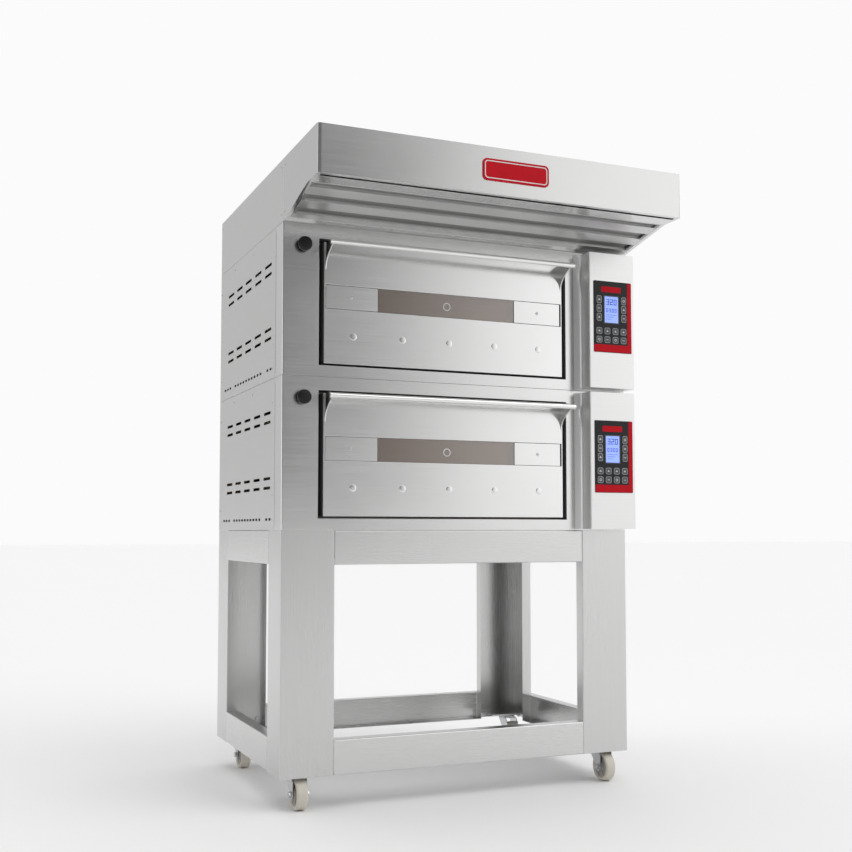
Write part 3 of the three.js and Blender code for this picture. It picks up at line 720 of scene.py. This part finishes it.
def damper(deck, b):
    """The knob, its long rod and the disc that closes the outlet."""
    x, z, end = OUTLET[0], b + OUTLET[1], 697.7
    body = f"{deck}_damper"
    knob = [(0, -23), (9, -22.9), (14.5, -22.2), (17.4, -20.4), (18.8, -17.5), (19, -14), (18.6, -9)]
    knob += [(17, -5), (13, -2.6), (9, -0.9), (0, -0.9)]
    pull = Shape().lathe(knob, "y", (x, 0, z), 56)
    pull.make(f"{deck}_pull_knob", KNOB, body, "black_plastic", [f"{deck}_steam_damper"])
    rod = [(0, -1), (4, -1), (4, end - 3), (22.6, end - 3), (23, end - 2.5), (23, end), (0, end)]
    shaft = Shape().lathe(rod, "y", (x, 0, z), 32)
    shaft.make(f"{deck}_damper_rod", ZINC, body, "zinc_steel", bevel=0.2)


def decks():
    for deck, b in DECKS.items():
        dress(f"{deck}_front_frame", SATIN, 0.9, 2)
        dress(f"{deck}_base_tray", SATIN, 0.5)
        dress(f"{deck}_top_cover", SATIN, 0.5)
        door(deck, b)
        control_box(deck, b)
        panels(deck, b)
        chamber(deck, b)
        damper(deck, b)


# ---- hood ----------------------------------------------------------------------------------------
def slope(y):
    """Height of the hood's sloping underside at y, from the deck's front edge to the flat lip."""
    return THROAT + (FASCIA_BASE - THROAT) * -y / FILTER_REACH


def baffles():
    """Flat slats with hemmed edges, and above each gap between them an inverted channel."""
    lean = math.atan2(FASCIA_BASE - THROAT, FILTER_REACH)
    front, back, rise = -213.7, -22.3, 1.6
    gaps = [(-210, -190), (-152, -119), (-81, -46)]
    edges = [front, *[y for gap in gaps for y in gap], back]

    def sheet(path):
        """A line of (y, lift) points given a sheet's thickness."""
        low = [(y - lift * math.sin(lean), slope(y) + lift * math.cos(lean)) for y, lift in path]
        high = [(y, z + rise) for y, z in reversed(low)]
        return low + high

    ends = (20.5, WIDTH - 20.5)
    slats = Shape()
    for y0, y1 in zip(edges[::2], edges[1::2]):
        slats.plate(sheet([(y0 + 0.3, 0), (y1 - 0.3, 0)]), "x", 12.6, WIDTH - 12.6)
        for y in (y0 + 0.3, y1 - 1.9):
            z = slope(y)
            slats.plate([(y, z + 1), (y + 1.6, z + 1), (y + 1.6, z + 4), (y, z + 4)], "x", *ends)
    slats.make("hood_slats", SLAT, "frame", "satin_steel", ["hood_baffle_filter"], bevel=0.3)
    channels = Shape()
    for y0, y1 in gaps:
        reach = y1 - y0
        rise_to = [(y0 - 2 + (reach + 2) * i / 12, 2.0 + 6.5 * math.sin(math.pi / 24 * i)) for i in range(13)]
        rise_to += [(y1 + 2.5, 7.0), (y1 + 3.6, 2.0)]
        channels.plate(sheet(rise_to), "x", *ends)
        for x in (12.6, WIDTH - 20.5):
            cheek = [(y0, slope(y0)), (y1, slope(y1)), (y1, slope(y1) + 17), (y0, slope(y0) + 17)]
            channels.plate(cheek, "x", x, x + 7.9)
    # The channels wear darkened steel: painted shade in the grooves.
    channels.make("hood_channels", CHANNEL_SHADE, "frame", "satin_steel", bevel=0.3)


def hood():
    # The canopy wears the darker hood copy of the steel: painted shade.
    dress("hood_canopy", HOOD, 1.2, 3)
    dress("hood_housing", SIDE, 0.9, 2)
    baffles()
    cx, cz, face = 527.0, 1622.0, -HOOD_REACH
    badge = Shape().plate(rounded(cx - 94, cx + 94, cz - 28, cz + 28, 12, 8), "y", face - 2.6, face - 0.1)
    badge.make("hood_badge", RED, "frame", "satin_steel", bevel=0.8, segments=3)
    inside = rounded(cx - 86.5, cx + 86.5, cz - 20.5, cz + 20.5, 7, 8)
    border = Shape()
    border.plate(rounded(cx - 89, cx + 89, cz - 23, cz + 23, 9, 8), "y", face - 3.0, face - 2.5, [inside])
    border.make("hood_badge_border", PRINT, "frame", "satin_steel", bevel=0.2)
    r, z = 75.0, HOOD_TOP + 0.3
    ring = [(r - 2, z), (95, z), (95, z + 1.6), (94.6, z + 2), (r + 2.5, z + 2), (r + 0.7, z + 2.8)]
    ring += [(r, z + 5), (r, z + 32), (r + 1.4, z + 33.5), (r + 1.4, z + 36), (r, z + 37.5)]
    ring += [(r, z + 40), (r - 2, z + 40)]
    spigot = Shape().lathe(ring, "z", (*DUCT, 0), 72)
    spigot.make("duct_spigot", SIDE, "frame", "satin_steel", ["hood_duct_collar"])
    heads, bolts = Shape(), 85
    for k in range(8):
        t = math.radians(22.5 + 45 * k)
        x, y = DUCT[0] + bolts * math.cos(t), DUCT[1] + bolts * math.sin(t)
        fastener(heads, x, y, z + 2, "z", 1, 3.5, 1.8)
    for x in (16, 270, 515, 760, WIDTH - 16):
        for y in (-16, 16, 684):
            fastener(heads, x, y, HOOD_TOP, "z", 1, 4.0, 1.8)
    for x, out in ((0, -1), (WIDTH, 1)):
        for y, h in ((-14, 1535), (-14, 1660), (14, 1535), (14, 1660), (684, 1535), (684, 1660)):
            fastener(heads, x, y, h, "x", out, 3.6, 1.6)
    heads.make("hood_screws", ZINC, "frame", "zinc_steel")


# ---- studio --------------------------------------------------------------------------------------
def world():
    """A pale room: a wide dim patch in front, and bright ones to the front right, far left and above."""
    scene = bpy.context.scene
    scene.world = bpy.data.worlds.new("studio")
    scene.world.use_nodes = True
    tree = scene.world.node_tree
    nodes, links = tree.nodes, tree.links
    coords = nodes.new("ShaderNodeTexCoord")

    def lobe(direction, start, end, amount, base):
        """base plus amount where the ray points near a direction."""
        d = Vector(direction).normalized()
        dot = nodes.new("ShaderNodeVectorMath")
        dot.operation = "DOT_PRODUCT"
        dot.inputs[1].default_value = d
        links.new(coords.outputs["Generated"], dot.inputs[0])
        ramp = nodes.new("ShaderNodeMapRange")
        ramp.interpolation_type = "SMOOTHSTEP"
        ramp.inputs["From Min"].default_value = math.cos(math.radians(start))
        ramp.inputs["From Max"].default_value = math.cos(math.radians(end))
        ramp.inputs["To Max"].default_value = amount
        links.new(dot.outputs["Value"], ramp.inputs["Value"])
        total = nodes.new("ShaderNodeMath")
        if isinstance(base, float):
            total.inputs[0].default_value = base
        else:
            links.new(base, total.inputs[0])
        links.new(ramp.outputs["Result"], total.inputs[1])
        return total.outputs["Value"]

    def heading(degrees, rise=0.0):
        t = math.radians(degrees)
        return (math.sin(t), -math.cos(t), rise)

    patches = (  # heading, rise, outer and inner half angle, amount
        (-34, 0.14, 62, 50, -0.56),  # dim, in front
        (58, 0.1, 40, 26, 0.56),  # window, front right
        (-97, -0.02, 20, 9, 2.2),  # narrow and bright, far left
        (-160, 0.1, 50, 14, -0.12),  # slightly dim, behind
    )
    value = 0.76
    for degrees, rise, outer, inner, amount in patches:
        value = lobe(heading(degrees, rise), outer, inner, amount, value)
    value = lobe((0, 0, 1), 60, 34, 0.40, value)
    background = nodes["Background"]
    links.new(value, background.inputs["Color"])
    seen, backdrop = nodes.new("ShaderNodeBackground"), 0.965
    seen.inputs["Color"].default_value = (backdrop, backdrop, backdrop, 1)
    path = nodes.new("ShaderNodeLightPath")
    mix = nodes.new("ShaderNodeMixShader")
    links.new(path.outputs["Is Camera Ray"], mix.inputs["Fac"])
    links.new(background.outputs["Background"], mix.inputs[1])
    links.new(seen.outputs["Background"], mix.inputs[2])
    links.new(mix.outputs["Shader"], nodes["World Output"].inputs["Surface"])
    scene.view_settings.view_transform = "Standard"
    scene.view_settings.look = "None"


def lights():
    """One weak, very soft sun over the front."""
    sun = bpy.data.lights.new("overhead", "SUN")
    sun.energy, sun.angle = 0.5, math.radians(50)
    lamp = bpy.data.objects.new("overhead", sun)
    lamp.rotation_euler = (math.radians(35), math.radians(20), 0)
    bpy.context.scene.collection.objects.link(lamp)


def floor():
    mesh = bpy.data.meshes.new("floor")
    size = 60.0
    corners = [(-size, -size, 0), (size, -size, 0), (size, size, 0), (-size, size, 0)]
    mesh.from_pydata(corners, [], [(0, 1, 2, 3)])
    obj = bpy.data.objects.new("floor", mesh)
    mesh.materials.append(plain("floor_white", (0.93, 0.93, 0.93), 0.75, 3.0, 0.0, 0.0001, 0.995))
    bpy.context.scene.collection.objects.link(obj)


def camera():
    """Stands where the photograph was taken from, as fitted."""
    eye, yaw, tilt = (-811.3, -2860.3, 711.6), 22.99, 3.33
    data = bpy.data.cameras.new("camera")
    data.sensor_width = 36
    data.lens = 48.75
    data.shift_y = 0.045
    obj = bpy.data.objects.new("camera", data)
    obj.location = at(*eye)
    obj.rotation_euler = (math.radians(90 + tilt), 0, math.radians(-yaw))
    bpy.context.scene.collection.objects.link(obj)
    bpy.context.scene.camera = obj


stand()
castors()
decks()
hood()
world()
lights()
floor()
camera()
